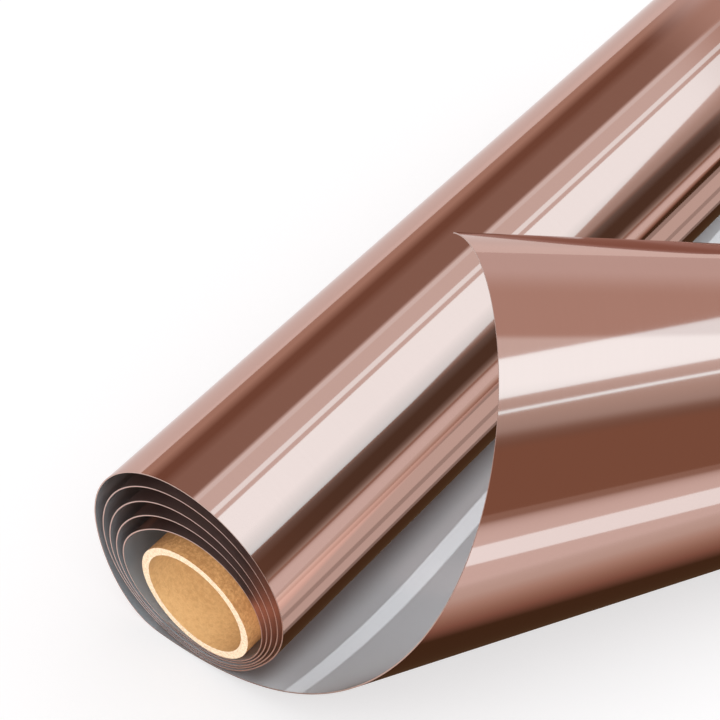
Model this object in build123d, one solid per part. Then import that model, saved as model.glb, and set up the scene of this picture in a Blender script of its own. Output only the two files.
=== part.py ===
from build123d import *
import os
from math import atan2, ceil, cos, hypot, pi, radians, sin, tan

# A loosely wound roll of mirror foil on a cardboard core. The outer turn leaves the roll
# along the floor, and the free leader curls up and back over the roll as a cone.
#
# Axes: the roll lies along +Y, the leader leaves towards +X, and +Z is up.
# Origin: the centre of the core's near mouth. Lengths are in millimetres.

# ---- driving dimensions -------------------------------------------------------------

ROLL_WIDTH = 305.0          # length of the core and width of the foil
FLOOR_Z = -32.0             # the surface that the roll and its leader lie on

FOIL_FACE = 0.20            # copper mirror face of the laminate
FOIL_BACK = 0.20            # silver back of the laminate
FOIL = FOIL_FACE + FOIL_BACK

CORE_BORE = 38.1            # 1 1/2 inch film core
CORE_LINER_PLY = 0.5
CORE_BODY_PLIES = 1.8
CORE_KRAFT_PLY = 0.5
CORE_PLIES = {
    "core_inner_liner": (CORE_BORE / 2, CORE_LINER_PLY),
    "core_board_body": (CORE_BORE / 2 + CORE_LINER_PLY, CORE_BODY_PLIES),
    "core_kraft_wrap": (CORE_BORE / 2 + CORE_LINER_PLY + CORE_BODY_PLIES, CORE_KRAFT_PLY),
}

TURN_COUNT = 5              # loose turns round the core
START_ANGLE = -121.0        # degrees round the core where every turn begins, at the lower left
LEFT_TURN = 0.195           # fraction of the first turn at which it is furthest left
POINTS_PER_TURN = 24

# Distance from the core's axis to the foil's outer face: a mean, then the cosine and sine
# terms of the first, second and third harmonics. The coil is round over the top, sags to
# the floor, and is pressed flat at the lower right, where the turns lie close together.
LOOP_RADIUS = (40.7, -3.3, 13.2, -3.9, 2.1, -0.8, -0.4)
# What each turn inwards takes off that distance, with the first and second harmonics.
LOOP_PITCH = (2.8, -0.6, 2.1, -0.9, -0.1)

LEADER_START_X = -19.3      # where the foil meets the floor
FREE_END_X = 262.0          # the free end, measured along the leader laid out flat
APEX_X = 294.7              # apex of the cone that the leader curls on, in the floor plane
APEX_Y = 461.9
CONE_HALF_ANGLE = 0.137     # radians

SWING_CHI = radians(35)      # angle round the cone of the ruling about which the leader swings
OPEN_CHI = radians(140)     # and of the ruling where the curl opens
BODY_GAP = 0.15             # least clear space on each side of a ruling that two bodies share


# ---- the coil's shape ---------------------------------------------------------------

def harmonics(terms, angle):
    """Sum of a mean and its cosine and sine terms at an angle in radians."""
    total = terms[0]
    for order in range(1, (len(terms) + 1) // 2):
        total += terms[2 * order - 1] * cos(order * angle)
        total += terms[2 * order] * sin(order * angle)
    return total


def spiral_point(turns):
    """The foil's outer face in the end plane (x, z), a number of turns in from the leader."""
    angle = radians(START_ANGLE) - 2 * pi * turns
    radius = harmonics(LOOP_RADIUS, angle) - turns * harmonics(LOOP_PITCH, angle)
    return radius * cos(angle), radius * sin(angle)


def outer_face_point(turns):
    """As spiral_point, with the first turn rounded off on to the floor at its lower left."""
    if turns >= LEFT_TURN:
        return spiral_point(turns)
    left_x, left_z = spiral_point(LEFT_TURN)
    swing = (turns / LEFT_TURN) * pi / 2
    x = LEADER_START_X - (LEADER_START_X - left_x) * sin(swing)
    z = left_z - (left_z - FLOOR_Z) * cos(swing)
    return x, z


def coil_point(turns, depth):
    """A point at a depth under the outer face, measured towards the core."""
    step = 1e-4
    x0, z0 = outer_face_point(turns - step)
    x1, z1 = outer_face_point(turns + step)
    run = hypot(x1 - x0, z1 - z0)
    along_x = (x1 - x0) / run
    along_z = (z1 - z0) / run
    x, z = outer_face_point(turns)
    return x + along_z * depth, z - along_x * depth


def coil_curve(first, last, depth):
    """One smooth curve through the coil between two turn counts, in the near-end plane."""
    count = ceil((last - first) * POINTS_PER_TURN)
    points = []
    for i in range(count + 1):
        x, z = coil_point(first + (last - first) * i / count, depth)
        points.append((x, 0, z))
    return Edge.make_spline(points)


def coil_ply(first, last, outer_depth, inner_depth):
    """One ply of the foil between two turn counts, as long as the roll is wide."""
    outer = coil_curve(first, last, outer_depth)
    inner = coil_curve(first, last, inner_depth)
    first_end = Edge.make_line(outer @ 0, inner @ 0)
    last_end = Edge.make_line(outer @ 1, inner @ 1)
    outline = Face(Wire([outer, last_end, inner, first_end]))
    return Solid.extrude(outline, Vector(0, ROLL_WIDTH, 0))


# ---- the leader's shape -------------------------------------------------------------
# Foil bends but doesn't stretch, so the curl is a true cone. A point is placed by where it
# is on the leader laid out flat on the floor: x from the roll, y across the foil.

def fan_angle(x, y):
    """Angle at the apex between straight back down the foil and the flat point (x, y)."""
    return atan2(APEX_X - x, APEX_Y - y)


FIRST_FAN = fan_angle(LEADER_START_X, 0)
FIRST_RULING = Vector(LEADER_START_X - APEX_X, -APEX_Y, 0).normalized()
CONE_AXIS = FIRST_RULING * cos(CONE_HALF_ANGLE) + Vector(0, 0, sin(CONE_HALF_ANGLE))
SIDE = CONE_AXIS.cross(FIRST_RULING)
APEX = Vector(APEX_X, APEX_Y, FLOOR_Z)


def cone_ruling(chi):
    """Unit vector from the apex down the cone, at an angle round it from the floor."""
    about_axis = CONE_AXIS * (CONE_AXIS.dot(FIRST_RULING) * (1 - cos(chi)))
    turn_side = SIDE if SIDE.X > 0 else SIDE * -1
    return FIRST_RULING * cos(chi) + turn_side * sin(chi) + about_axis


def chi_at(x, y):
    """Angle round the cone that the flat point (x, y) rolls up to."""
    return (FIRST_FAN - fan_angle(x, y)) / sin(CONE_HALF_ANGLE)


def curled_point(x, y, depth):
    """Where the flat point (x, y) lies on the cone, at a depth in from the copper face."""
    ruling = cone_ruling(chi_at(x, y))
    inwards = (CONE_AXIS - ruling * cos(CONE_HALF_ANGLE)) * (1 / sin(CONE_HALF_ANGLE))
    return APEX + ruling * hypot(APEX_X - x, APEX_Y - y) + inwards * depth


def flat_x_on_ruling(chi, y):
    """Where the ruling at an angle round the cone crosses a line across the flat foil."""
    return APEX_X - (APEX_Y - y) * tan(FIRST_FAN - chi * sin(CONE_HALF_ANGLE))


# The gap is an angle in the flat foil, so that both of its sides are rulings. It is
# narrowest at the far edge, which is nearest the apex.
GAP_CHI = BODY_GAP / hypot(APEX_X - FREE_END_X, APEX_Y - ROLL_WIDTH) / sin(CONE_HALF_ANGLE)


def curl_edge(start_chi, end_chi, y, depth):
    """The curve that a line across the curl makes, at a distance y across the foil."""
    count = ceil((end_chi - start_chi) / radians(7))
    points = []
    for i in range(count + 1):
        chi = start_chi + (end_chi - start_chi) * i / count
        points.append(curled_point(flat_x_on_ruling(chi, y), y, depth))
    return Edge.make_spline(points, parameters=[i / count for i in range(count + 1)])


def ruled_patch(start_chi, end_chi, depth):
    """A face over the curl between two rulings, from the near edge to the far one."""
    near_edge = curl_edge(start_chi, end_chi, 0, depth)
    far_edge = curl_edge(start_chi, end_chi, ROLL_WIDTH, depth)
    return Face.make_surface_from_curves(near_edge, far_edge)


def free_end_patch(start_chi, depth):
    """A face over the curl from a ruling to the free end, which is cut square."""
    across, along = 8, 12
    rows = []
    for j in range(across + 1):
        y = ROLL_WIDTH * j / across
        x = flat_x_on_ruling(start_chi, y)
        step = (FREE_END_X - x) / along
        rows.append([curled_point(x + step * i, y, depth) for i in range(along + 1)])
    return Face.make_surface_from_array_of_points(rows, tol=2e-3)


def solid_between(outer, inner):
    """A solid closed by ruled faces between the matching edges of two faces."""
    walls = []
    for edge in outer.edges():
        partner = min(inner.edges(), key=lambda other: (other @ 0.5 - edge @ 0.5).length)
        if (partner @ 0 - edge @ 0).length > (partner @ 1 - edge @ 0).length:
            partner = partner.reversed()
        walls.append(Face.make_surface_from_curves(edge, partner))
    return Solid(Shell([outer, inner] + walls))


# ---- sub-parts ----------------------------------------------------------------------

PLIES = {"copper_face": (0, FOIL_FACE), "silver_back": (FOIL_FACE, FOIL)}


def core_ply(inner_radius, thickness):
    """One paper ply group of the core, a plain tube along the roll."""
    ring = Circle(inner_radius + thickness) - Circle(inner_radius)
    return extrude(Plane.XZ * ring, -ROLL_WIDTH)


def leader_flat_ply(outer_depth, inner_depth):
    """The wedge of leader that lies on the floor between the roll and the first ruling."""
    outline = Polygon(
        (LEADER_START_X, 0),
        (flat_x_on_ruling(0, ROLL_WIDTH), ROLL_WIDTH),
        (LEADER_START_X, ROLL_WIDTH),
        align=None,
    )
    plane = Plane.XY.offset(FLOOR_Z + outer_depth)
    return extrude(plane * outline, inner_depth - outer_depth)


def leader_foot_ply(outer_depth, inner_depth):
    """The first of the curl, which stays with the roll when the leader swings."""
    outer = ruled_patch(0, SWING_CHI - GAP_CHI, outer_depth)
    inner = ruled_patch(0, SWING_CHI - GAP_CHI, inner_depth)
    return solid_between(outer, inner)


def leader_rise_ply(outer_depth, inner_depth):
    """The side of the curl, which swings over or away from the roll."""
    outer = ruled_patch(SWING_CHI + GAP_CHI, OPEN_CHI - GAP_CHI, outer_depth)
    inner = ruled_patch(SWING_CHI + GAP_CHI, OPEN_CHI - GAP_CHI, inner_depth)
    return solid_between(outer, inner)


def leader_curl_ply(outer_depth, inner_depth):
    """The top of the curl, which folds back over the roll and opens."""
    outer = free_end_patch(OPEN_CHI + GAP_CHI, outer_depth)
    inner = free_end_patch(OPEN_CHI + GAP_CHI, inner_depth)
    return solid_between(outer, inner)


def build():
    """Every node of the roll by name."""
    nodes = {}
    for name, (radius, thickness) in CORE_PLIES.items():
        nodes[name] = core_ply(radius, thickness)
    for ply, (outer_depth, inner_depth) in PLIES.items():
        for turn in range(1, TURN_COUNT + 1):
            nodes[f"turn_{turn}_{ply}"] = coil_ply(turn - 1, turn, outer_depth, inner_depth)
        nodes[f"leader_flat_{ply}"] = leader_flat_ply(outer_depth, inner_depth)
        nodes[f"leader_foot_{ply}"] = leader_foot_ply(outer_depth, inner_depth)
        nodes[f"leader_rise_{ply}"] = leader_rise_ply(outer_depth, inner_depth)
        nodes[f"leader_curl_{ply}"] = leader_curl_ply(outer_depth, inner_depth)
    return nodes


os.makedirs("parts", exist_ok=True)
for node_name, shape in build().items():
    export_step(shape, f"parts/{node_name}.step")
    print(f"{node_name:28s} {shape.volume:10.1f} mm3")

# The two rulings that the leader's hinges lie along, from the near edge to the apex.
for hinge, chi in (("leader_swing", SWING_CHI), ("curl_open", OPEN_CHI)):
    point = curled_point(flat_x_on_ruling(chi, 0), 0, FOIL / 2)
    along = cone_ruling(chi) * -1
    print(f"{hinge:14s} through {tuple(point)} along {tuple(along)}")
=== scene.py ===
# %% [markdown]
# # A loosely wound roll of copper mirror foil
# The object is a web of thin laminate, copper mirror on one side and satin silver on the
# other, wound five loose turns round a cardboard core. The outer turn leaves the roll along
# the floor and its free end curls up and back over the roll. The design, the joints and the
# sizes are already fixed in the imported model, so this lesson only adds what the eye judges:
# a smooth continuous web, believable paper and metal, and the light that a mirror needs.

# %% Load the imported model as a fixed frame
import bpy
import numpy as np
from math import atan2, cos, pi, radians, sin
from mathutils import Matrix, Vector


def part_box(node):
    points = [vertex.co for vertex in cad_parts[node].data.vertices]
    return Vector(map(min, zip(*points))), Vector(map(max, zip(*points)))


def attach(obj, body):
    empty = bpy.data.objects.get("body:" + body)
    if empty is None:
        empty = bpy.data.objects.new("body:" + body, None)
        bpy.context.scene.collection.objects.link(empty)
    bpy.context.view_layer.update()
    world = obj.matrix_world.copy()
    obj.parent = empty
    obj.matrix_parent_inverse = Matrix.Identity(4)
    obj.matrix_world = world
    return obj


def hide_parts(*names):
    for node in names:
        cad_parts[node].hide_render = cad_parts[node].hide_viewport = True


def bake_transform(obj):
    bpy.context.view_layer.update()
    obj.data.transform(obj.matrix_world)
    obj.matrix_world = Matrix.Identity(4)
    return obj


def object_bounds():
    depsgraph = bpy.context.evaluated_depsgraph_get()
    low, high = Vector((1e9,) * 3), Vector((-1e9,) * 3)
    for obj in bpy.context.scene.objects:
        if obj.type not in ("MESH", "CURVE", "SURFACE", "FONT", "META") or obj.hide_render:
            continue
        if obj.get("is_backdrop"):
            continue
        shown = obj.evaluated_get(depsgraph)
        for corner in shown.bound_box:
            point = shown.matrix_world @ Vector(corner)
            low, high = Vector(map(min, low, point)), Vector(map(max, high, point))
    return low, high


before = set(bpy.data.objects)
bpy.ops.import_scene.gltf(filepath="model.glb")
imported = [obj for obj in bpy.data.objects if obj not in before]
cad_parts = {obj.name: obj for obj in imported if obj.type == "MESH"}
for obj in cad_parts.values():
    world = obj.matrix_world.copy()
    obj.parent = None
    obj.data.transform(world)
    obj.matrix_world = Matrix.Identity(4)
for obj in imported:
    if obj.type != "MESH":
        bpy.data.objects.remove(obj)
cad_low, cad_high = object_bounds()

print("CAD box in mm:", [round(1000 * side) for side in cad_high - cad_low])

# %% [markdown]
# # The camera
# A long lens far away keeps the roll's sides nearly parallel, as in a catalogue. The camera
# could be placed by its position and rotation, but it is placed here by where it looks, its
# two angles and its distance: those are easy to think about, and the position follows.

# %% Place the camera
LOOK_AT = Vector((-0.0240, 0.1096, 0.0))
CAMERA_AZIMUTH = radians(39.34)
CAMERA_ELEVATION = radians(48.55)
CAMERA_DISTANCE = 0.734
LENS = 108.65


def make_camera():
    """A camera that looks at LOOK_AT from its azimuth, elevation and distance."""
    level = cos(CAMERA_ELEVATION)
    back = Vector((
        sin(CAMERA_AZIMUTH) * level,
        -cos(CAMERA_AZIMUTH) * level,
        sin(CAMERA_ELEVATION),
    ))
    data = bpy.data.cameras.new("product_camera")
    data.lens = LENS
    camera = bpy.data.objects.new("product_camera", data)
    camera.location = LOOK_AT + back * CAMERA_DISTANCE
    camera.rotation_mode = "QUATERNION"
    camera.rotation_quaternion = (-back).to_track_quat("-Z", "Y")
    bpy.context.scene.collection.objects.link(camera)
    bpy.context.scene.camera = camera
    return camera


camera = make_camera()
bpy.context.scene.view_settings.view_transform = "Standard"
print("camera at", [round(c, 3) for c in camera.location])

# %% [markdown]
# # Shader maths as plain Python
# A procedural material is a small program drawn as boxes and wires. Written as Python
# expressions it stays readable: `1 - mask * 0.3` adds the Math nodes by itself. One class
# wraps an output socket and overloads the operators, and one method adds any other node.
# Colours and vectors go through Mix and Vector Math nodes, because Math turns them grey.

# %% A wire that understands arithmetic, and a tree that adds nodes
class Wire:
    """One output socket of a node tree, which can be used in expressions."""

    def __init__(self, tree, socket):
        self.tree = tree
        self.socket = socket

    def maths(self, operation, first, second=0.0):
        """Adds one Math node."""
        return self.tree.node("ShaderNodeMath", {"operation": operation}, {0: first, 1: second})

    def __add__(self, other):
        return self.maths("ADD", self, other)

    def __radd__(self, other):
        return self.maths("ADD", other, self)

    def __sub__(self, other):
        return self.maths("SUBTRACT", self, other)

    def __rsub__(self, other):
        return self.maths("SUBTRACT", other, self)

    def __mul__(self, other):
        return self.maths("MULTIPLY", self, other)

    def __rmul__(self, other):
        return self.maths("MULTIPLY", other, self)

    def __truediv__(self, other):
        return self.maths("DIVIDE", self, other)

    def __rtruediv__(self, other):
        return self.maths("DIVIDE", other, self)

    def __abs__(self):
        return self.maths("ABSOLUTE", self)

    def out(self, name):
        """Another output of the node that this wire comes from."""
        return Wire(self.tree, self.socket.node.outputs[name])


class Tree:
    """A node tree being filled in, for a material or for the world."""

    def __init__(self, owner):
        owner.use_nodes = True
        self.nodes = owner.node_tree.nodes
        self.links = owner.node_tree.links
        self.nodes.clear()

    def node(self, kind, settings=None, values=None):
        """Adds a node: first its settings, then a value or a wire for each socket."""
        made = self.nodes.new(kind)
        for name, value in (settings or {}).items():
            if name == "stops":
                set_stops(made.color_ramp, value)
            else:
                setattr(made, name, value)
        for name, value in (values or {}).items():
            if isinstance(value, Wire):
                self.links.new(value.socket, made.inputs[name])
            else:
                made.inputs[name].default_value = value
        shown = [socket for socket in made.outputs if socket.enabled]
        return Wire(self, shown[0]) if shown else None

    def mix(self, first, second, share):
        """Between two colours: share 0 gives the first and share 1 the second."""
        return self.mix_node("MIX", first, second, share)

    def tint(self, colour, by):
        """A colour multiplied by another."""
        return self.mix_node("MULTIPLY", colour, by, 1.0)

    def mix_node(self, blend_type, first, second, share):
        """A Mix node set to colours: its factor is input 0, and its colours are 6 and 7."""
        settings = {"data_type": "RGBA", "blend_type": blend_type}
        values = {0: share, 6: rgba(first), 7: rgba(second)}
        return self.node("ShaderNodeMix", settings, values)

    def smooth(self, value, low, high):
        """0 below low, 1 above high, and a smooth step between."""
        settings = {"interpolation_type": "SMOOTHSTEP"}
        values = {"Value": value, "From Min": low, "From Max": high}
        return self.node("ShaderNodeMapRange", settings, values)

    def noise(self, at, scale, detail=2.0, roughness=0.5):
        """Cloudy noise between 0 and 1."""
        values = {"Vector": at, "Scale": scale, "Detail": detail, "Roughness": roughness}
        return self.node("ShaderNodeTexNoise", {}, values)

    def stretched(self, at, scale):
        """Coordinates scaled differently along each axis."""
        settings = {"operation": "MULTIPLY"}
        return self.node("ShaderNodeVectorMath", settings, {0: at, 1: scale})

    def bump(self, height, distance):
        """A normal that follows a height from 0 to 1, which stands for a distance in metres."""
        return self.node("ShaderNodeBump", {}, {"Height": height, "Distance": distance})


def rgba(colour):
    """A colour as a socket takes it: a wire as it is, three numbers with alpha added."""
    return colour if isinstance(colour, Wire) else (*colour[:3], 1.0)


def set_stops(ramp, stops):
    """Fills a colour ramp from (position, colour) pairs."""
    while len(ramp.elements) < len(stops):
        ramp.elements.new(1.0)
    for element, (position, colour) in zip(ramp.elements, stops):
        element.position = position
        element.color = rgba(colour)


def new_material(name):
    """An empty material and its tree."""
    material = bpy.data.materials.new(name)
    return material, Tree(material)


def principled(tree, **values):
    """Ends a tree in a Principled surface. Keyword names use _ for the spaces."""
    named = {name.replace("_", " "): value for name, value in values.items()}
    surface = tree.node("ShaderNodeBsdfPrincipled", {}, named)
    tree.node("ShaderNodeOutputMaterial", {}, {"Surface": surface})
    return surface


print("shader helpers ready")

# %% [markdown]
# # The floor
# A mirror shows its surroundings, so the floor is half of the work: the lower half of every
# turn reflects it. It could be plain white paper under strong lamps, but a mirror's room is
# tinted and would stain it. So it is made as a light table: one large pale sheet that glows
# by itself and takes the rest of its light, with soft shadows, from the lamps. It isn't part
# of the object, so it is marked as stage.

# %% Lay the floor under the lowest point of the foil
FLOOR_Z = cad_low.z
FLOOR_REACH = 30.0
FLOOR_DROP = 0.00006
FLOOR_GREY = (0.44, 0.45, 0.46, 1)
FLOOR_GLOW_COLOUR = (0.97, 0.98, 0.99, 1)
FLOOR_GLOW = 0.63


def make_floor():
    """A large flat sheet just under the foil."""
    corners = [(-1, -1), (1, -1), (1, 1), (-1, 1)]
    points = [(x * FLOOR_REACH, y * FLOOR_REACH, FLOOR_Z - FLOOR_DROP) for x, y in corners]
    mesh = bpy.data.meshes.new("studio_floor")
    mesh.from_pydata(points, [], [(0, 1, 2, 3)])
    floor = bpy.data.objects.new("studio_floor", mesh)
    bpy.context.scene.collection.objects.link(floor)
    material, tree = new_material("pale_floor")
    principled(tree, Base_Color=FLOOR_GREY, Roughness=0.9, Specular_IOR_Level=0.0,
               Emission_Color=FLOOR_GLOW_COLOUR, Emission_Strength=FLOOR_GLOW)
    mesh.materials.append(material)
    floor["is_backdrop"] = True
    return floor


floor = make_floor()
print("floor at z", round(FLOOR_Z, 4))

# %% [markdown]
# # The studio round the roll
# Polished foil has almost no colour of its own: what it shows is the room. Round a long
# roll the room is read as an angle about the roll's axis, from the horizon on the right (0)
# over the top (90) to the horizon on the left (180). Both side walls are dark and the
# ceiling is a pale haze, which already draws broad light and dark bands along the roll. The
# walls past its two ends are pale and pink, and low on the right there is a brown glow. The
# camera itself sees a plain backdrop. A room of real walls would do the same, but it would
# be slower to adjust and would stand in the way of other views. The softboxes that sharpen
# the bands are separate lights, added when the pieces exist.

# %% Paint the room that the mirrors see
HAZE = (1.00, 1.00, 1.00)
LEFT_WALL = (0.41, 0.28, 0.23)
LEFT_DARK = (0.28, 0.15, 0.105)
LEFT_GLOW = (0.64, 0.46, 0.38)
RIGHT_DARK = (0.125, 0.080, 0.055)
RIGHT_BROWN = (0.34, 0.19, 0.13)
RIGHT_GLOW = (0.57, 0.54, 0.50)
ROOM = [
    (0, RIGHT_GLOW),
    (4, (0.28, 0.23, 0.20)),
    (8, RIGHT_DARK),
    (20, RIGHT_DARK),
    (28, (0.22, 0.19, 0.17)),
    (31, (0.38, 0.30, 0.26)),
    (34, (0.60, 0.55, 0.52)),
    (40, (0.72, 0.66, 0.62)),
    (52, HAZE),
    (112, HAZE),
    (115, LEFT_WALL),
    (140, LEFT_WALL),
    (152, LEFT_DARK),
    (160, LEFT_DARK),
    (172, LEFT_GLOW),
    (180, LEFT_GLOW),
]
BROWN_ALONG = (0.28, 0.50)
BROWN_ROUND = (0.14, 0.20)
END_HIGH = (0.72, 0.56, 0.50)
END_LOW = (0.89, 0.81, 0.80)
END_RISE = (0.25, 0.52)
END_START = (0.665, 0.695)
BACKDROP = (0.93, 0.93, 0.93)


def make_world():
    """The room as a function of direction, and a plain backdrop for the camera itself."""
    world = bpy.data.worlds.new("studio_room")
    bpy.context.scene.world = world
    tree = Tree(world)
    direction = tree.node("ShaderNodeTexCoord").out("Generated")
    parts = tree.node("ShaderNodeSeparateXYZ", {}, {"Vector": direction})
    x, y, z = parts.out("X"), parts.out("Y"), parts.out("Z")
    round_roll = tree.node("ShaderNodeMath", {"operation": "ARCTAN2"}, {0: z, 1: x}) / pi
    stops = [(angle / 180, colour) for angle, colour in ROOM]
    room = tree.node("ShaderNodeValToRGB", {"stops": stops}, {"Fac": round_roll})
    square_on = 1 - tree.smooth(abs(y), *BROWN_ALONG)
    low_right = square_on * (1 - tree.smooth(round_roll, *BROWN_ROUND))
    room = tree.mix(room, RIGHT_BROWN, low_right)
    end_wall = tree.mix(END_LOW, END_HIGH, tree.smooth(z, *END_RISE))
    room = tree.mix(room, end_wall, tree.smooth(abs(y), *END_START))
    seen = tree.node("ShaderNodeLightPath").out("Is Camera Ray")
    colour = tree.mix(room, BACKDROP, seen)
    background = tree.node("ShaderNodeBackground", {}, {"Color": colour, "Strength": 1.0})
    tree.node("ShaderNodeOutputWorld", {}, {"Surface": background})
    return world


def make_soft_light(name, azimuth, elevation, strength, spread):
    """A broad soft light, with angles in degrees. Mirrors don't show it: they show the room."""
    data = bpy.data.lights.new(name, "SUN")
    data.energy = strength
    data.angle = radians(spread)
    light = bpy.data.objects.new(name, data)
    level = cos(radians(elevation))
    towards = Vector((
        sin(radians(azimuth)) * level,
        -cos(radians(azimuth)) * level,
        sin(radians(elevation)),
    ))
    light.rotation_mode = "QUATERNION"
    light.rotation_quaternion = towards.to_track_quat("Z", "Y")
    light.visible_glossy = False
    bpy.context.scene.collection.objects.link(light)
    return light


make_world()
make_soft_light("key_light", azimuth=-40, elevation=60, strength=0.9, spread=50)
make_soft_light("fill_light", azimuth=60, elevation=65, strength=0.5, spread=120)
print("room has", len(ROOM), "stops round the roll")

# %% [markdown]
# # The foil's shape: the wound part
# The web is one long strip, so its shape is a single spiral drawn in the end plane and
# carried straight along the roll. The spiral's radius is a short sum of sines and cosines:
# round over the top, sagging to the floor, and pressed flat at the lower right. The packed
# model cuts it into five turns. Here it is one unbroken sheet, because a mirror would show
# every join.

# %% The spiral in the end plane
START_ANGLE = radians(-121.0)
LEFT_TURN = 0.195
LOOP_RADIUS = (0.0407, -0.0033, 0.0132, -0.0039, 0.0021, -0.0008, -0.0004)
LOOP_PITCH = (0.0028, -0.0006, 0.0021, -0.0009, -0.0001)
TURN_COUNT = len([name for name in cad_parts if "turn" in name and "copper" in name])
LEADER_START_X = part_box("leader_flat_copper_face")[0].x
ROLL_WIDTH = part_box("core_board_body")[1].y


def harmonics(terms, angle):
    """Sum of a mean and its cosine and sine terms at an array of angles."""
    total = terms[0] * np.ones_like(angle)
    for order in range(1, (len(terms) + 1) // 2):
        total += terms[2 * order - 1] * np.cos(order * angle)
        total += terms[2 * order] * np.sin(order * angle)
    return total


def spiral(turns):
    """The foil's copper face in the end plane, an array of turns in from the leader."""
    angle = START_ANGLE - 2 * pi * turns
    radius = harmonics(LOOP_RADIUS, angle) - turns * harmonics(LOOP_PITCH, angle)
    return np.stack([radius * np.cos(angle), radius * np.sin(angle)], axis=-1)


def copper_line(turns):
    """As spiral, with the first turn rounded off on to the floor at its lower left."""
    points = spiral(turns)
    left = spiral(np.array([LEFT_TURN]))[0]
    swing = np.clip(turns / LEFT_TURN, None, 1) * pi / 2
    rounded = np.stack([
        LEADER_START_X - (LEADER_START_X - left[0]) * np.sin(swing),
        left[1] - (left[1] - FLOOR_Z) * np.cos(swing),
    ], axis=-1)
    return np.where((turns < LEFT_TURN)[:, None], rounded, points)


def coil_frames(turns):
    """Points on the copper face and the outward normals there, in the end plane."""
    step = 1e-4
    along = copper_line(turns + step) - copper_line(turns - step)
    along /= np.linalg.norm(along, axis=1)[:, None]
    outward = np.stack([-along[:, 1], along[:, 0]], axis=-1)
    return copper_line(turns), outward


print("the web makes", TURN_COUNT, "turns and is", round(ROLL_WIDTH * 1000), "mm wide")

# %% [markdown]
# # The foil's shape: the leader
# Foil bends but doesn't stretch, so a curl that narrows towards one side is a true cone.
# A point of the leader is placed by where it would be if the leader were laid out flat:
# x along the web from the roll, y across it. Left of the first ruling it stays flat on the
# floor, and right of it the point rolls up round the cone. Because the map keeps lengths,
# the foil looks bent and never stretched.

# %% Roll a flat point up on to the cone
CONE_APEX = np.array([0.2947, 0.4619, FLOOR_Z])
CONE_HALF_ANGLE = 0.137
FREE_END_X = 0.262
FIRST_RULING = np.array([LEADER_START_X, 0, FLOOR_Z]) - CONE_APEX
FIRST_RULING /= np.linalg.norm(FIRST_RULING)
CONE_AXIS = FIRST_RULING * cos(CONE_HALF_ANGLE) + np.array([0, 0, sin(CONE_HALF_ANGLE)])
CONE_SIDE = np.cross(CONE_AXIS, FIRST_RULING)
FIRST_FAN = atan2(CONE_APEX[0] - LEADER_START_X, CONE_APEX[1])


def rulings(chi):
    """Unit vectors from the apex down the cone, at angles round it from the floor."""
    chi = np.asarray(chi)[..., None]
    about_axis = CONE_AXIS * cos(CONE_HALF_ANGLE) * (1 - np.cos(chi))
    return FIRST_RULING * np.cos(chi) + CONE_SIDE * np.sin(chi) + about_axis


def leader_frames(x, y):
    """Points on the leader's copper face and the outward normals there."""
    fan = np.arctan2(CONE_APEX[0] - x, CONE_APEX[1] - y)
    chi = (FIRST_FAN - fan) / sin(CONE_HALF_ANGLE)
    reach = np.hypot(CONE_APEX[0] - x, CONE_APEX[1] - y)
    down = rulings(chi)
    outward = (down * cos(CONE_HALF_ANGLE) - CONE_AXIS) / sin(CONE_HALF_ANGLE)
    curled = CONE_APEX + down * reach[..., None]
    flat = np.stack([x, y, np.full_like(x, FLOOR_Z)], axis=-1)
    on_floor = (chi < 0)[..., None]
    return np.where(on_floor, flat, curled), np.where(on_floor, (0, 0, -1), outward)


def flat_x_on_ruling(chi, y):
    """Where the ruling at an angle round the cone crosses a line across the flat foil."""
    return CONE_APEX[0] - (CONE_APEX[1] - y) * np.tan(FIRST_FAN - chi * sin(CONE_HALF_ANGLE))


near_edge, _ = leader_frames(np.linspace(0, FREE_END_X, 200), np.zeros(200))
print("the curl is", round(1000 * (near_edge[:, 2].max() - FLOOR_Z)), "mm high at its near edge")

# %% [markdown]
# # Turning a surface into two bonded plies
# The laminate is two plies, each a fifth of a millimetre. Each ply is built as a closed
# thin shell: a grid of quads on its outer side, one on its inner side, and a narrow rim
# where the foil was cut. A mirror shows the slightest kink in shading, so the corner
# normals are set from the formula rather than averaged from the quads. The texture map is
# the flat foil itself, in metres, so that streaks run along the web wherever it bends.

# %% Build one ply from a grid of points and normals
PLY = 0.0002
PLIES = {"copper": (0.0, PLY), "silver": (PLY, 2 * PLY)}
SLOTS = {"copper": "copper_face", "silver": "silver_back"}


def grid_quads(index):
    """Quads over a grid of vertex numbers."""
    corners = [index[:-1, :-1], index[1:, :-1], index[1:, 1:], index[:-1, 1:]]
    return np.stack(corners, axis=-1).reshape(-1, 4)


def rim_quads(index, lower):
    """Quads round the border of a grid, between its two sides."""
    border = np.concatenate([index[0], index[1:, -1], index[-1, -2::-1], index[-2::-1, 0]])
    below = lower + border
    return np.stack([border[:-1], below[:-1], below[1:], border[1:]], axis=-1)


def add_object(name, mesh):
    """Puts a mesh into the scene."""
    made = bpy.data.objects.new(name, mesh)
    bpy.context.scene.collection.objects.link(made)
    return made


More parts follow.
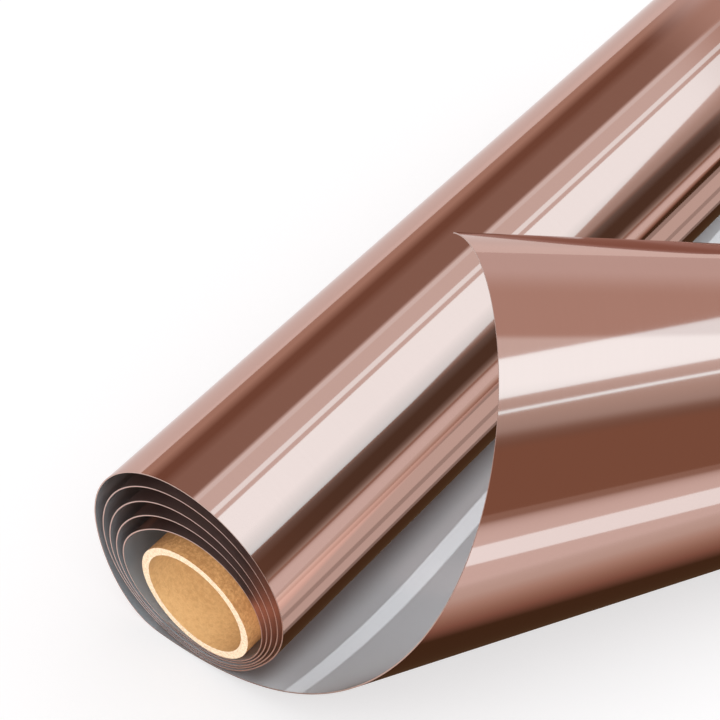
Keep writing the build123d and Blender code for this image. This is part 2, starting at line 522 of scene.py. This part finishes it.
def make_ply(name, points, normals, flat, depths):
    """A closed shell between two depths under a grid of points."""
    count = points.shape[0] * points.shape[1]
    index = np.arange(count).reshape(points.shape[:2])
    sides = [points - normals * depth for depth in depths]
    vertices = np.concatenate([side.reshape(-1, 3) for side in sides])
    face = grid_quads(index)
    back = face[:, ::-1] + count
    rim = rim_quads(index, count)
    quads = np.concatenate([face, back, rim])
    mesh = bpy.data.meshes.new(name)
    mesh.from_pydata(vertices.tolist(), [], quads.tolist())
    smooth = np.ones(len(quads), bool)
    smooth[-len(rim):] = False
    mesh.polygons.foreach_set("use_smooth", smooth)
    mesh.polygons.foreach_set("material_index", (~smooth).astype(np.int32))
    layer = mesh.uv_layers.new(name="flat_foil")
    both = np.concatenate([flat.reshape(-1, 2)] * 2)
    layer.data.foreach_set("uv", both[quads.ravel()].astype(np.float32).ravel())
    outward = np.concatenate([normals.reshape(-1, 3), -normals.reshape(-1, 3)])
    corner_normals = outward[quads.ravel()]
    corner_normals[-4 * len(rim):] = 0
    mesh.normals_split_custom_set(corner_normals.tolist())
    mesh.validate()
    return add_object(name, mesh)


def make_plies(name, points, normals, flat):
    """Both plies of one stretch of foil."""
    made = {}
    for ply, depths in PLIES.items():
        made[ply] = make_ply(f"{name}_{ply}", points, normals, flat, depths)
    return made


print("plies:", {ply: [round(1000 * d, 2) for d in depths] for ply, depths in PLIES.items()})

# %% [markdown]
# # The wound web
# The five turns are one strip. Its cut edges aren't perfectly in line on a real roll: each
# turn sits a few tenths of a millimetre further in or out, so the edges wander slightly.

# %% Wind the web
COIL_STEPS = 180 * TURN_COUNT
COIL_ROWS = 13
EDGE_WANDER = 0.0003
NEAR_WANDERS = 2.3
FAR_WANDERS = 1.7


def make_coil():
    """The wound part of the foil, from the floor in to the core."""
    turns = np.linspace(0, TURN_COUNT, COIL_STEPS + 1)
    line, outward = coil_frames(turns)
    length = np.concatenate([[0], np.cumsum(np.linalg.norm(np.diff(line, axis=0), axis=1))])
    near = EDGE_WANDER * (1 - np.cos(NEAR_WANDERS * turns)) / 2
    far = ROLL_WIDTH - EDGE_WANDER * (1 - np.cos(FAR_WANDERS * turns)) / 2
    share = np.linspace(0, 1, COIL_ROWS)
    across = near[:, None] * (1 - share) + far[:, None] * share
    shape = across.shape
    points = np.empty((*shape, 3))
    points[..., 0], points[..., 1], points[..., 2] = line[:, :1], across, line[:, 1:]
    normals = np.zeros((*shape, 3))
    normals[..., 0], normals[..., 2] = outward[:, :1], outward[:, 1:]
    flat = np.stack([np.broadcast_to(-length[:, None], shape), across], axis=-1)
    print("wound length:", round(length[-1], 3), "m")
    return make_plies("wound_web", points, normals, flat), length[-1]


coil, wound_length = make_coil()
for piece in coil.values():
    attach(piece, "coil")
for ply, slot in SLOTS.items():
    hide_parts(*[f"turn_{turn}_{slot}" for turn in range(1, TURN_COUNT + 1)])

# %% [markdown]
# # The leader, in two stretches
# The leader bends at two places: near the floor, where the whole curl swings, and high on
# its side, where the curl opens. A sheet can blend between two bodies only, so the leader
# is built in two stretches that meet along one straight ruling under the belly of the curl.

# %% Make the lower and the upper stretch of the leader
SEAM_CHI = radians(59)
LEADER_ROWS = 62
LOWER_COLUMNS = 70
UPPER_COLUMNS = 150


def leader_grid(first_x, last_x, columns):
    """Points, normals and flat coordinates between two edges given as x for each y."""
    y = np.linspace(0, ROLL_WIDTH, LEADER_ROWS)
    share = np.linspace(1, 0, columns + 1)[:, None]
    x = first_x(y) * (1 - share) + last_x(y) * share
    y = np.broadcast_to(y, x.shape)
    points, normals = leader_frames(x, y)
    return points, normals, np.stack([x - LEADER_START_X, y], axis=-1)


def seam_x(y):
    """x of the ruling where the two stretches meet."""
    return flat_x_on_ruling(SEAM_CHI, y)


def start_x(y):
    """x where the leader leaves the roll."""
    return np.full_like(y, LEADER_START_X)


def end_x(y):
    """x of the free end."""
    return np.full_like(y, FREE_END_X)


lower = make_plies("leader_foot", *leader_grid(start_x, seam_x, LOWER_COLUMNS))
upper = make_plies("leader_curl", *leader_grid(seam_x, end_x, UPPER_COLUMNS))
print("leader stretches:", [piece.name for piece in (*lower.values(), *upper.values())])

# %% [markdown]
# # The leader's two hinges
# Real foil bends a little everywhere. The imported model has two hinges instead, each along a
# ruling, and a hard hinge would crease a mirror. So a start point and an end point are found a
# centimetre or more of foil either side of each ruling, but nothing here turns the foil
# between them. Both stretches are then fixed where they lie, and the packed pieces are hidden.

# %% Find the points either side of each hinge, and fix both stretches in place
SWING_CHI = radians(35)
OPEN_CHI = radians(140)
SWING_REACH = 0.010
OPEN_REACH = 0.025


def hinge_reach(chi, reach):
    """Two points either side of the ruling at chi, square to it along the foil."""
    x = np.array([flat_x_on_ruling(chi, 0.0)])
    point, outward = leader_frames(x, np.array([0.0]))
    along = np.cross(rulings(chi), outward[0])
    along = along if along @ (rulings(chi + 0.1) - rulings(chi)) > 0 else -along
    return point[0] - along * reach, point[0] + along * reach


swing_start, swing_end = hinge_reach(SWING_CHI, SWING_REACH)
open_start, open_end = hinge_reach(OPEN_CHI, OPEN_REACH)
for ply, slot in SLOTS.items():
    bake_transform(lower[ply])
    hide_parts(f"leader_flat_{slot}", f"leader_foot_{slot}")
    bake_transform(upper[ply])
    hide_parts(f"leader_rise_{slot}", f"leader_curl_{slot}")
print("hinges at z", [round(float(point[2]), 3) for point in (swing_start, open_start)])

# %% [markdown]
# # Six pieces cut from a flat sheet
# The leader's two stretches are cut along a slanting line, so besides the rectangle that
# they fit in, their areas are worked out for each ply; nothing keeps or uses them.

# %% Work out the flat size of each piece
seam_near, seam_far = seam_x(0.0), seam_x(ROLL_WIDTH)
seam_middle = (seam_near + seam_far) / 2
for ply in PLIES:
    seam_far - LEADER_START_X
    (seam_middle - LEADER_START_X) * ROLL_WIDTH
    FREE_END_X - seam_near
    (FREE_END_X - seam_middle) * ROLL_WIDTH
print("the whole leader is", round(1000 * (FREE_END_X - LEADER_START_X)), "mm long when flat")

# %% [markdown]
# # Lights that reach only some pieces
# Every surface of a mirror wants its own clean highlight. A product studio moves the
# softboxes between exposures and then joins the results. Light linking does the same in one
# go: a light has a list of the pieces that it reaches, and another of those that can throw
# its shadow. The leader is also hidden from reflections in other pieces, because a curl
# beside a mirror roll would double every band on it.

# %% Link lights to pieces
wound = list(coil.values())
curled = list(upper.values())


def light_only(light, pieces):
    """Lets a light reach these pieces and nothing else."""
    receivers = bpy.data.collections.new(f"{light.name}_receivers")
    for piece in pieces:
        receivers.objects.link(piece)
    light.light_linking.receiver_collection = receivers


def block_only_by(light, *blocking):
    """Lets a light shine through everything but a few studio pieces."""
    blockers = bpy.data.collections.new(f"{light.name}_blockers")
    for piece in blocking:
        blockers.objects.link(piece)
    light.light_linking.blocker_collection = blockers


for piece in (*lower.values(), *curled):
    piece.visible_glossy = False
print("hidden from reflections:", [piece.name for piece in (*lower.values(), *curled)])

# %% [markdown]
# # Softboxes overhead
# A softbox is a flat glowing panel, and a mirror shows its outline. The panels hang far up,
# so that their edges reflect as straight bands along the roll. The broad one makes the white
# band over the top, and the narrow strips draw thin lines beside it. The curl runs at an
# angle to the roll, so it has two panels of its own, turned to match. Spot lamps would give
# dots, which rolled foil rarely shows.

# %% Hang the panels
PANEL_HEIGHT = 8.0
COOL_WHITE = (0.42, 0.82, 1.0)
PANEL_ALONG = (-1.16, 1.16)
ROLL_PANELS = {
    "softbox": ((0.15, 1.63), 1.35),
    "strip_by_softbox": ((-0.02, 0.07), 1.0),
    "strip_on_left": ((-0.40, -0.31), 0.25),
}
CURL_TURN = radians(25.0)
CURL_PANEL_LENGTH = 3.0
CURL_PANEL_SHIFT = 0.5
CURL_PANELS = {
    "curl_softbox": (0.9375, 0.325, 1.6),
    "curl_strip": (1.255, 0.040, 1.8),
}


def make_card(name, centre, size, facing, radiance, colour, pieces):
    """A flat glowing card that faces a direction and that only some pieces reflect."""
    data = bpy.data.lights.new(name, "AREA")
    data.shape = "RECTANGLE"
    data.size, data.size_y = size
    data.color = colour
    data.energy = radiance * size[0] * size[1] * pi
    card = bpy.data.objects.new(name, data)
    card.location = centre
    card.rotation_mode = "QUATERNION"
    card.rotation_quaternion = Vector(facing).to_track_quat("-Z", "Y")
    card.visible_camera = False
    bpy.context.scene.collection.objects.link(card)
    light_only(card, pieces)
    return card


def hang_panel(name, across, radiance):
    """A panel over the roll, between two slopes x/z as seen from its axis."""
    centre = [PANEL_HEIGHT * sum(pair) / 2 for pair in (across, PANEL_ALONG)]
    size = [PANEL_HEIGHT * (pair[1] - pair[0]) for pair in (across, PANEL_ALONG)]
    return make_card(name, (*centre, PANEL_HEIGHT), size, (0, 0, -1), radiance, COOL_WHITE, wound)


def hang_turned_panel(name, offset, width, radiance):
    """A long panel that runs with the curl, at a slope off overhead and a slope wide."""
    across = np.array([cos(CURL_TURN), sin(CURL_TURN)])
    along = np.array([-sin(CURL_TURN), cos(CURL_TURN)])
    centre = (*(PANEL_HEIGHT * (across * offset + along * CURL_PANEL_SHIFT)), PANEL_HEIGHT)
    size = (PANEL_HEIGHT * width, PANEL_HEIGHT * CURL_PANEL_LENGTH)
    panel = make_card(name, centre, size, (0, 0, -1), radiance, COOL_WHITE, curled)
    panel.rotation_mode = "XYZ"
    panel.rotation_euler = (0, 0, CURL_TURN)
    return panel


for name, (across, radiance) in ROLL_PANELS.items():
    hang_panel(name, across, radiance)
for name, (offset, width, radiance) in CURL_PANELS.items():
    hang_turned_panel(name, offset, width, radiance)
print("panels", round(PANEL_HEIGHT), "m up:", [*ROLL_PANELS, *CURL_PANELS])

# %% [markdown]
# # Glowing strips on the floor
# The lower right side of the roll mirrors the floor just beside it, where the curl's shadow
# and the open table alternate. The strips lie beside each other with a brightness each:
# where two overlap in one plane, a reflected ray meets only the first. The curl has one strip
# of its own, which is the pale line low on its outer side. Only the floor blocks them, so
# that no foil throws a shadow on another piece.

# %% Lay the strips
STRIP_LIFT = 0.001
STRIP_LENGTH = 1.0
CURL_STRIP_ACROSS = (0.275, 0.430)
ROLL_STRIPS = [
    ((0.051, 0.057), 0.30),
    ((0.057, 0.077), 0.78),
    ((0.077, 0.090), 0.50),
    ((0.090, 0.150), 0.82),
    ((0.150, 0.190), 0.45),
]


def lay_glow(name, across, radiance, colour, pieces):
    """A glowing strip on the floor along the roll, between two x."""
    centre = (sum(across) / 2, ROLL_WIDTH / 2, FLOOR_Z + STRIP_LIFT)
    size = (across[1] - across[0], STRIP_LENGTH)
    glow = make_card(name, centre, size, (0, 0, 1), radiance, colour, pieces)
    block_only_by(glow, floor)
    return glow


lay_glow("floor_strip", CURL_STRIP_ACROSS, 1.0, COOL_WHITE, curled)
for number, (across, radiance) in enumerate(ROLL_STRIPS):
    lay_glow(f"roll_glow_{number}", across, radiance, (1, 1, 1), [coil["copper"]])
print("strips on the floor:", 1 + len(ROLL_STRIPS))

# %% [markdown]
# # Painted shade on the floor, seen only in mirrors
# The belly of the curl mirrors the floor below it, which is dark and brown close to the roll
# and pales outwards. Real shadow alone is too pale, because the light table glows by itself.
# So a painted shadow lies there: a glowing card that only mirrors see, with its colours in a
# ramp and an edge that fades out. Another glowing card, far off, is painted shade that browns
# the floor in reflections where the lit table would end.

# %% Lay the cards of painted shadow and shade
# Where the painted shadow under the curl starts, how it leans and how far it fades.
CARD_LEAN = 0.4
CARD_START = 0.088
CARD_FADE = 0.112
# The painted shadow's colours, from nearly black under the curl out to the white of the floor.
PAINTED_SHADOW_COLOURS = [
    (0.0, (0.09, 0.05, 0.025)),
    (0.14, (0.36, 0.20, 0.15)),
    (0.26, (0.50, 0.34, 0.27)),
    (0.42, (0.69, 0.54, 0.47)),
    (0.60, (0.84, 0.78, 0.74)),
    (1.0, (0.97, 0.96, 0.95)),
]
CARD_CORNERS = [(-0.02, -0.1), (0.21, -0.1), (0.45, 0.5), (-0.02, 0.5)]
# Painted shade far to the right, where the lit table ends, which only reflections show.
TABLE_END = 0.40
TABLE_END_FADE = 2.0
PAINTED_FAR_SHADE_BROWN = (0.45, 0.31, 0.25, 1)
FAR_REACH = 29.0
FAR_CORNERS = [
    (TABLE_END, -FAR_REACH),
    (FAR_REACH + 0.9, -FAR_REACH),
    (FAR_REACH + 0.9, FAR_REACH),
    (TABLE_END, FAR_REACH),
]


def hide_from(piece, *rays):
    """Hides a studio piece from some kinds of ray."""
    for ray in rays:
        setattr(piece, f"visible_{ray}", False)


def make_flat(name, corners, height):
    """A flat four-sided studio piece, from its corners' x and y, with an empty material."""
    mesh = bpy.data.meshes.new(name)
    mesh.from_pydata([(x, y, height) for x, y in corners], [], [(0, 1, 2, 3)])
    piece = add_object(name, mesh)
    material, tree = new_material(name)
    mesh.materials.append(material)
    piece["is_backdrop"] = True
    return piece, tree


def lay_painted_shade(name, corners, finish):
    """A glowing card of painted shade just above the floor, whose edge fades out, seen only in
    the foil.
    """
    card, tree = make_flat(name, corners, FLOOR_Z - FLOOR_DROP / 2)
    at = tree.node("ShaderNodeTexCoord").out("Object")
    parts = tree.node("ShaderNodeSeparateXYZ", {}, {"Vector": at})
    colour, cover = finish(tree, parts.out("X"), parts.out("Y"))
    principled(tree, Base_Color=(0, 0, 0, 1), Roughness=1.0, Specular_IOR_Level=0.0,
               Alpha=cover, Emission_Color=colour, Emission_Strength=1.0)
    hide_from(card, "camera", "diffuse", "transmission", "volume_scatter", "shadow")
    return card


def painted_shadow_ramp(tree, x, y):
    """Painted shadow: nearly black under the curl's belly, through brown to the white of the
    floor.
    """
    outwards = (x - y * CARD_LEAN - CARD_START) / CARD_FADE
    colour = tree.node("ShaderNodeValToRGB", {"stops": PAINTED_SHADOW_COLOURS}, {"Fac": outwards})
    return colour, 1 - tree.smooth(outwards, 0.8, 1.0)


def painted_far_shade(tree, x, y):
    """Painted shade: brown where the lit table ends, far to the right."""
    return PAINTED_FAR_SHADE_BROWN, tree.smooth(x, TABLE_END, TABLE_END_FADE)


# Painted shadow under the curl, which only reflections show.
lay_painted_shade("painted_shadow_card", CARD_CORNERS, painted_shadow_ramp)
# Painted shade far off, which only reflections show.
lay_painted_shade("painted_far_shade", FAR_CORNERS, painted_far_shade)
print("cards reach x", CARD_CORNERS[2][0], "and", FAR_CORNERS[1][0], "m")

# %% [markdown]
# # Light into the near end
# Between the turns the silver back faces the silver and copper of its neighbours, and light
# gets in only from the open end. A warm card in front of that end fills the gaps and the
# inside of the curl.

# %% Stand a warm card before the near end
WARM_WHITE = (1.0, 0.66, 0.52)
GAP_AZIMUTH = radians(30)
GAP_RISE = 0.75
GAP_DISTANCE = 2.0
GAP_CARD = (1.2, 0.8)

gap_towards = Vector((sin(GAP_AZIMUTH), -cos(GAP_AZIMUTH), GAP_RISE)) * GAP_DISTANCE
silver_pieces = [coil["silver"], upper["silver"]]
make_card("gap_light", gap_towards, GAP_CARD, -gap_towards, 11.0, WARM_WHITE, silver_pieces)
print("gap card is", round(gap_towards.length, 2), "m away")

# %% [markdown]
# # A sharp stripe on the silver floor piece
# The flat start of the leader lies silver side up, and a bright stripe with sharp edges runs
# along it beside the roll. A stripe painted into the material would stay when the light
# moves. Here the sun shines straight down past two black flags that leave a slit, and a
# softer light past one flag grades the silver beside it. The flags only cast shadows.

# %% Set the flags and shine past them
SLIT_HEIGHT = 0.35
SLIT_NEAR = (0.0345, 0.0410)
SLIT_FAR = (0.020, 0.024)
SHADE_HEIGHT = FLOOR_Z + 0.05
SHADE_NEAR = 0.025
SHADE_FAR = 0.016
FLAG_MARGIN = 0.2
FLAG_REACH = 1.0
FLAG_BLACK = (0.02, 0.02, 0.02, 1)


def make_flag(name, corners, height):
    """A flat black flag that only casts shadows."""
    flag, tree = make_flat(name, corners, height)
    principled(tree, Base_Color=FLAG_BLACK, Roughness=0.9)
    hide_from(flag, "camera", "diffuse", "glossy", "transmission", "volume_scatter")
    return flag


def flag_edge(near, far):
    """A flag's straight edge, from x at the roll's near end and x at its far end."""
    lean = (far - near) / ROLL_WIDTH
    return [(near + lean * y, y) for y in (-FLAG_MARGIN, ROLL_WIDTH + FLAG_MARGIN)]


def shine_past_flags(name, edges, height, softness, strength, pieces):
    """Sunlight from straight above past one or two flags, on a few pieces only."""
    flags = []
    for side, (start, end) in zip((-FLAG_REACH, FLAG_REACH), edges):
        corners = [start, (side, start[1]), (side, end[1]), end]
        flags.append(make_flag(f"{name}_flag_{len(flags)}", corners, height))
    data = bpy.data.lights.new(name, "SUN")
    data.energy = strength
    data.angle = radians(softness)
    light = bpy.data.objects.new(name, data)
    bpy.context.scene.collection.objects.link(light)
    light_only(light, pieces)
    block_only_by(light, *flags)
    return flags


slit = [flag_edge(near, far) for near, far in zip(SLIT_NEAR, SLIT_FAR)]
shade = [flag_edge(SHADE_NEAR, SHADE_FAR)]
shine_past_flags("slit_light", slit, SLIT_HEIGHT, 0.1, 1.9, [lower["silver"]])
shade_flags = shine_past_flags("silver_key", shade, SHADE_HEIGHT, 12.0, 1.35, [lower["silver"]])
print("slit is", round(1000 * (SLIT_NEAR[1] - SLIT_NEAR[0]), 1), "mm wide at its near end")

# %% [markdown]
# # The core and the deepest gaps
# The core is paper among mirrors and gets a card of its own from the same place as the gap
# card. Only the floor blocks it: the turns would draw a sharp shadow on the kraft. The gaps
# at the lower right glow reddish brown, where light bounces many times between copper and
# silver. So many bounces are slow, and a weak result anyway, so a copper-coloured light from
# below stands in for them. Of all the pieces only the flag over the floor blocks it, which
# keeps it low.

# %% Light the core and warm the low gaps
CORE_WHITE = (1, 0.97, 0.92)
DEEP_COPPER = (1.0, 0.42, 0.22)

core_parts = [piece for name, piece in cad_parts.items() if name.startswith("core_")]
core_light = make_card("core_light", gap_towards, GAP_CARD, -gap_towards, 16.0, CORE_WHITE,
                       core_parts)
block_only_by(core_light, floor)
gap_glow = make_soft_light("gap_glow", azimuth=-70, elevation=-55, strength=6.0, spread=70)
gap_glow.data.color = DEEP_COPPER
light_only(gap_glow, [coil["silver"]])
block_only_by(gap_glow, *shade_flags)
print("core lit:", [piece.name for piece in core_parts])

# %% [markdown]
# # Copper mirror, satin silver and the cut edge
# The web's outer face is a copper mirror and its back is rolled silver. Real foil isn't a
# perfect mirror: rolling leaves faint streaks along the web, the lacquer has a little haze,
# and handling leaves slight ripples. All three come from noise on the flat foil's own
# coordinates, so they follow every bend. They could be painted as textures, but noise stays
# sharp at any distance. The silver is duller along its flat start, so that the lights beside
# it show as soft shades there. The cut edge shows the bare laminate.

# %% Foil finishes
COPPER = (0.56, 0.36, 0.31)
COPPER_GLANCING = (0.85, 0.78, 0.76)
SILVER = (0.54, 0.57, 0.60)
EDGE_DARK = (0.44, 0.29, 0.25)
EDGE_PALE = (0.60, 0.43, 0.37)
STREAKS_PER_METRE = (6, 900, 1)
RIPPLES_PER_METRE = (14, 5, 1)
HAZE_PER_METRE = 18.0
RIPPLE_HEIGHT = 0.0002
HAZE_TINT = (0.94, 0.94, 0.94)
DULL_BETWEEN = (0.005, 0.040)


def foil_finish(name, colour, roughness, streak, edge_tint, shiny, dull):
    """Rolled metal foil: faint streaks along the web, a little haze and slight ripples."""
    material, tree = new_material(name)
    flat = tree.node("ShaderNodeUVMap", {"uv_map": "flat_foil"})
    streaks = tree.noise(tree.stretched(flat, STREAKS_PER_METRE), 1.0, 3.0)
    haze = tree.noise(flat, HAZE_PER_METRE, 3.0)
    ripple = tree.noise(tree.stretched(flat, RIPPLES_PER_METRE), 1.0, 1.0)
    base = tree.tint(colour, tree.mix(HAZE_TINT, (1, 1, 1), haze * 0.6 + streaks * 0.4))
    rough = roughness + (streaks - 0.5) * streak + (haze - 0.5) * streak
    along = tree.node("ShaderNodeSeparateXYZ", {}, {"Vector": flat}).out("X")
    metallic = shiny + (dull - shiny) * tree.smooth(along, *DULL_BETWEEN)
    principled(tree, Base_Color=base, Metallic=metallic, Roughness=rough,
               Normal=tree.bump(ripple, RIPPLE_HEIGHT), Specular_Tint=(*edge_tint, 1.0))
    return material


def cut_edge_finish():
    """Bare cut edge of the laminate: pale and slightly rough."""
    material, tree = new_material("cut_edge")
    flat = tree.node("ShaderNodeUVMap", {"uv_map": "flat_foil"})
    grain = tree.noise(flat, 900.0, 2.0)
    base = tree.mix(EDGE_DARK, EDGE_PALE, grain)
    principled(tree, Base_Color=base, Metallic=0.6, Roughness=0.35)
    return material


foil = {
    "copper": foil_finish("copper_mirror", COPPER, roughness=0.055, streak=0.02,
                          edge_tint=COPPER_GLANCING, shiny=1.0, dull=1.0),
    "silver": foil_finish("silver_satin", SILVER, roughness=0.16, streak=0.05,
                          edge_tint=SILVER, shiny=0.42, dull=0.15),
}
cut_edge = cut_edge_finish()
for stretch in (coil, lower, upper):
    for ply, finish in foil.items():
        stretch[ply].data.materials.append(finish)
        stretch[ply].data.materials.append(cut_edge)
print("foil finishes:", [finish.name for finish in foil.values()], "with", cut_edge.name)

# %% [markdown]
# # The cardboard core
# The core is three glued papers: a smooth tan liner in the bore, cream board in the middle
# and brown kraft outside. Paper is mottled pulp with short fibres, so two sizes of noise mix
# a light and a dark colour and a fine bump follows them. Where the tube was sawn off, at its
# two ends, every ply shows the same pale cut board. A texture would need unwrapping, but the
# face's direction tells a sawn end from the tube's sides.

# %% Paper finishes
CUT_BOARD = (0.80, 0.66, 0.48)
CUT_BOARD_DARK = (0.64, 0.46, 0.30)
FIBRE_HEIGHT = 0.0002
CLOUD_SIZE = 12


def paper_finish(name, light, dark, fibres_per_metre):
    """Board or kraft paper: mottled pulp with short fibres."""
    material, tree = new_material(name)
    at = tree.node("ShaderNodeTexCoord").out("Object")
    pulp = tree.noise(at, fibres_per_metre, 5.0, 0.6)
    cloud = tree.noise(at, fibres_per_metre / CLOUD_SIZE, 2.0)
    base = tree.mix(dark, light, tree.smooth(pulp * 0.7 + cloud * 0.3, 0.35, 0.65))
    facing = tree.node("ShaderNodeNewGeometry").out("Normal")
    sideways = abs(tree.node("ShaderNodeSeparateXYZ", {}, {"Vector": facing}).out("Y"))
    cut = tree.mix(CUT_BOARD_DARK, CUT_BOARD, tree.smooth(pulp, 0.35, 0.6))
    base = tree.mix(base, cut, tree.smooth(sideways, 0.6, 0.9))
    principled(tree, Base_Color=base, Roughness=0.85, Normal=tree.bump(pulp, FIBRE_HEIGHT))
    return material


paper = {
    "core_inner_liner": paper_finish("tan_liner_paper", (0.68, 0.44, 0.20),
                                     (0.57, 0.35, 0.15), 700),
    "core_board_body": paper_finish("cream_board", (0.92, 0.80, 0.62),
                                    (0.80, 0.65, 0.45), 1200),
    "core_kraft_wrap": paper_finish("kraft_wrap_paper", (0.60, 0.33, 0.13),
                                    (0.40, 0.20, 0.07), 900),
}
for node, finish in paper.items():
    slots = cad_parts[node].data.materials
    slots.clear()
    slots.append(finish)
print("papers:", [finish.name for finish in paper.values()])

# %% Print how far the pieces reach past the CAD box
low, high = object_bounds()
past = (*(low - cad_low), *(high - cad_high))
print("visual box minus CAD box in mm:", [round(1000 * side, 2) for side in past])
